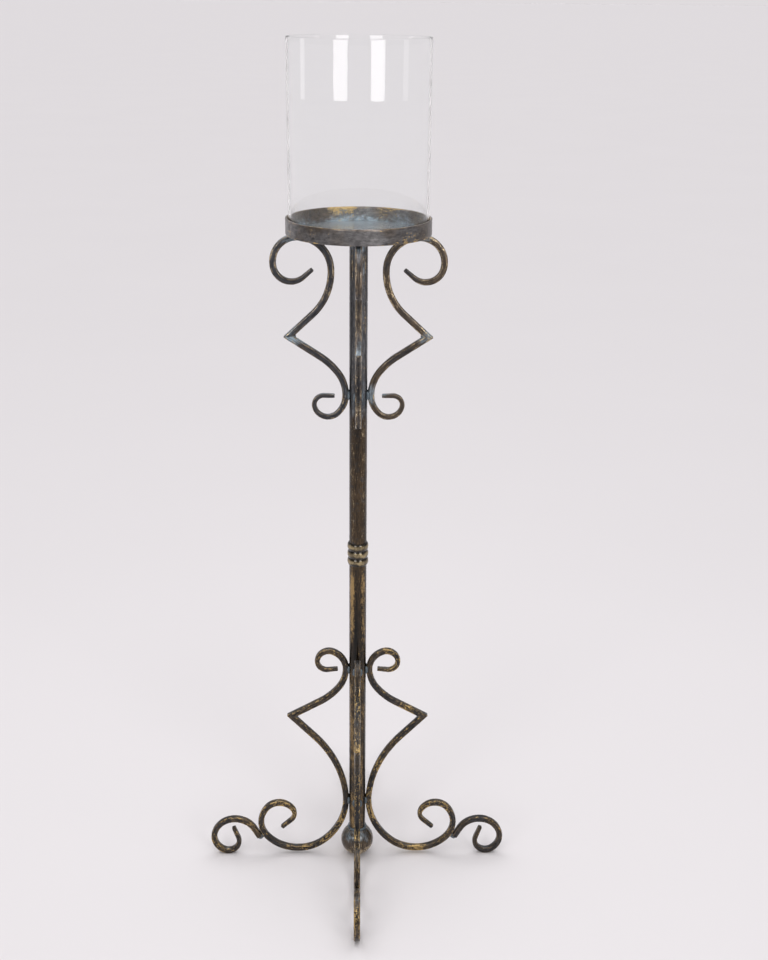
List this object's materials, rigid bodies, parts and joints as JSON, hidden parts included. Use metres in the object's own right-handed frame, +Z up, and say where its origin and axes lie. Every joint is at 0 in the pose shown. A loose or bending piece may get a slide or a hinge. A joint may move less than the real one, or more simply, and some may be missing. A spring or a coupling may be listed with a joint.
{
  "type": "pillar candle holder",
  "caption": "Tall floor stand for a pillar candle: scrolled square-bar legs and brackets round a tubular post, a shallow round pan on top, and a loose clear glass hurricane standing in the pan.",
  "frame": {"origin": "on the floor under the post's axis", "axes": "+Z up along the post; the four legs and the four brackets point along +X, +Y, -X and -Y, with -Y at the front"},
  "size_m": [0.4564, 0.4564, 1.22],
  "materials": {
    "clear_glass": "clear and polished, with fire-polished rims",
    "pan_bronze": "dark bronze paint, rubbed to gold along the edges",
    "pan_patina": "blue-grey patina under a glossy lacquer",
    "upper_bronze": "dark bronze paint over wrought bar, a little gold dry-brushed on the edges",
    "lower_bronze": "dark bronze paint with gold dry-brushed on the edges and lower curves",
    "collar_brass": "antiqued brass, darkened in the grooves",
    "ball_patina": "dark bronze paint with a blue-grey patina on top",
    "weld_patina": "rough weld bead under blue-grey patina",
    "inner_steel": "turned steel, not seen from outside"
  },
  "bodies": {
    "stand": {"pan_band": "pan_bronze", "pan_floor": "pan_patina", "upper_post_tube": "upper_bronze", "lower_post_tube": "lower_bronze", "joint_collar": "collar_brass", "upper_insert": "inner_steel", "lower_insert": "inner_steel", "joining_stud": "inner_steel", "foot_ball": "ball_patina", "right_bracket_top_scroll": "upper_bronze", "right_bracket_low_scroll": "upper_bronze", "right_leg_top_scroll": "lower_bronze", "right_leg_scroll": "lower_bronze", "right_toe_scroll": "lower_bronze", "back_bracket_top_scroll": "upper_bronze", "back_bracket_low_scroll": "upper_bronze", "back_leg_top_scroll": "lower_bronze", "back_leg_scroll": "lower_bronze", "back_toe_scroll": "lower_bronze", "left_bracket_top_scroll": "upper_bronze", "left_bracket_low_scroll": "upper_bronze", "left_leg_top_scroll": "lower_bronze", "left_leg_scroll": "lower_bronze", "left_toe_scroll": "lower_bronze", "front_bracket_top_scroll": "upper_bronze", "front_bracket_low_scroll": "upper_bronze", "front_leg_top_scroll": "lower_bronze", "front_leg_scroll": "lower_bronze", "front_toe_scroll": "lower_bronze", "pan_scroll_welds": "weld_patina", "pan_post_weld": "weld_patina", "bracket_post_welds": "weld_patina", "bracket_corner_welds": "weld_patina", "leg_top_welds": "weld_patina", "leg_corner_welds": "weld_patina", "leg_foot_welds": "weld_patina", "toe_welds": "weld_patina", "ball_weld": "weld_patina"},
    "glass": {"glass_hurricane": "clear_glass"}
  },
  "joints": [
    {"name": "glass_lift", "type": "slide", "parent": "stand", "child": "glass", "axis": [0, 0, 1], "range_m": [0, 0.26]}
  ]
}
